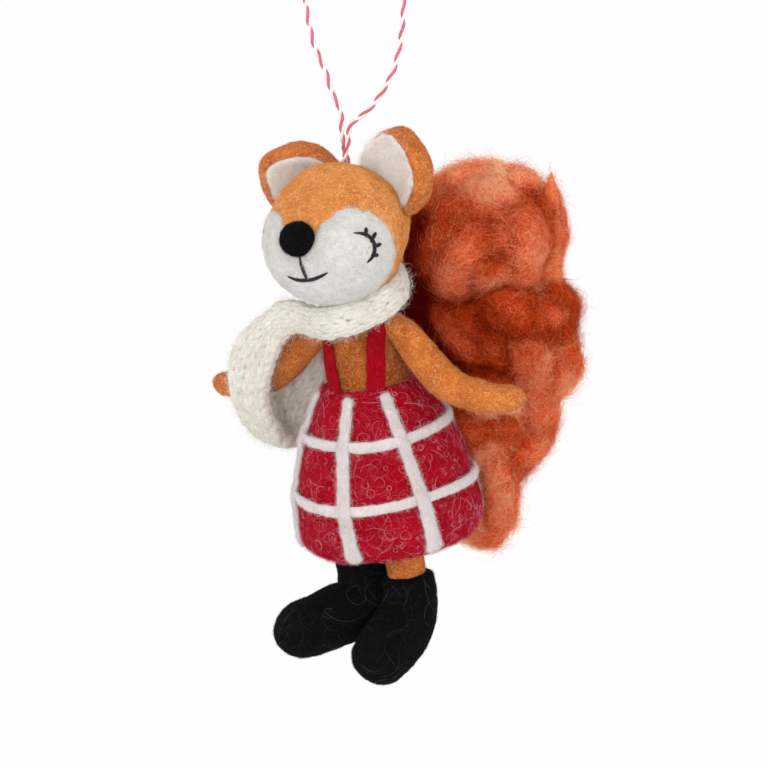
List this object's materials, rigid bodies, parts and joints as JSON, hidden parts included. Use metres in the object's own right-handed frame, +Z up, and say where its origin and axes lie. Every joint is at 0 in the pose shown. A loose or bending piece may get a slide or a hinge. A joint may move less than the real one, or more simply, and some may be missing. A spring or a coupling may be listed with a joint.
{
  "type": "felt fox ornament",
  "caption": "Hanging needle-felted fox in a checked skirt, knitted scarf and boots, with a big fluffy wool tail, on a loop of two-ply twine.",
  "frame": {"origin": "inside of the top of the twine loop, where a hook or twig holds it", "axes": "+Z up along the hanging line; the fox faces -Y and its left side is +X"},
  "size_m": [0.0837, 0.0796, 0.1703],
  "materials": {
    "orange_felt": "matte needle felt",
    "white_felt": "matte needle felt",
    "black_felt": "matte needle felt",
    "black_thread": "matte cotton thread",
    "red_felt": "matte needle felt with stray pale fibres",
    "strap_felt": "matte felt",
    "white_wool": "matte wool roving",
    "cream_knit": "soft chunky knit",
    "rust_wool": "loose carded wool locks",
    "twine": "two-ply red and white cotton twine"
  },
  "bodies": {
    "hanger": {"twine_loop": "twine"},
    "stem": {"twine_stem": "twine"},
    "figure": {"head": "orange_felt", "face_mask": "white_felt", "nose": "black_felt", "mouth_stitch": "black_thread", "eye_stitch_left": "black_thread", "eye_stitch_right": "black_thread", "ear_left": "orange_felt", "ear_right": "orange_felt", "ear_lining_left": "white_felt", "ear_lining_right": "white_felt", "body": "orange_felt", "skirt": "red_felt", "strap_left": "strap_felt", "strap_right": "strap_felt", "check_ring_upper": "white_wool", "check_ring_lower": "white_wool", "check_upright_1": "white_wool", "check_upright_2": "white_wool", "check_upright_3": "white_wool", "check_upright_4": "white_wool", "check_upright_5": "white_wool", "check_upright_6": "white_wool", "arm_left": "orange_felt", "arm_right": "orange_felt", "leg_left": "orange_felt", "leg_right": "orange_felt", "boot_left": "black_felt", "boot_right": "black_felt", "scarf": "cream_knit", "tail_core": "rust_wool", "tail_lock_1": "rust_wool", "tail_lock_2": "rust_wool", "tail_lock_3": "rust_wool", "tail_lock_4": "rust_wool", "tail_lock_5": "rust_wool", "tail_lock_6": "rust_wool", "tail_lock_7": "rust_wool", "tail_lock_8": "rust_wool", "tail_lock_9": "rust_wool"}
  },
  "joints": [
    {"name": "loop_swing", "type": "hinge", "parent": "hanger", "child": "stem", "pos_m": [-0.00182, -0.00105, -0.04275], "axis": [0.7179, 0.6961, 0], "range_deg": [-25, 25]},
    {"name": "figure_turn", "type": "hinge", "parent": "stem", "child": "figure", "pos_m": [-0.00182, -0.00105, -0.04955], "axis": [0, 0, 1], "range_deg": [-180, 180]}
  ]
}
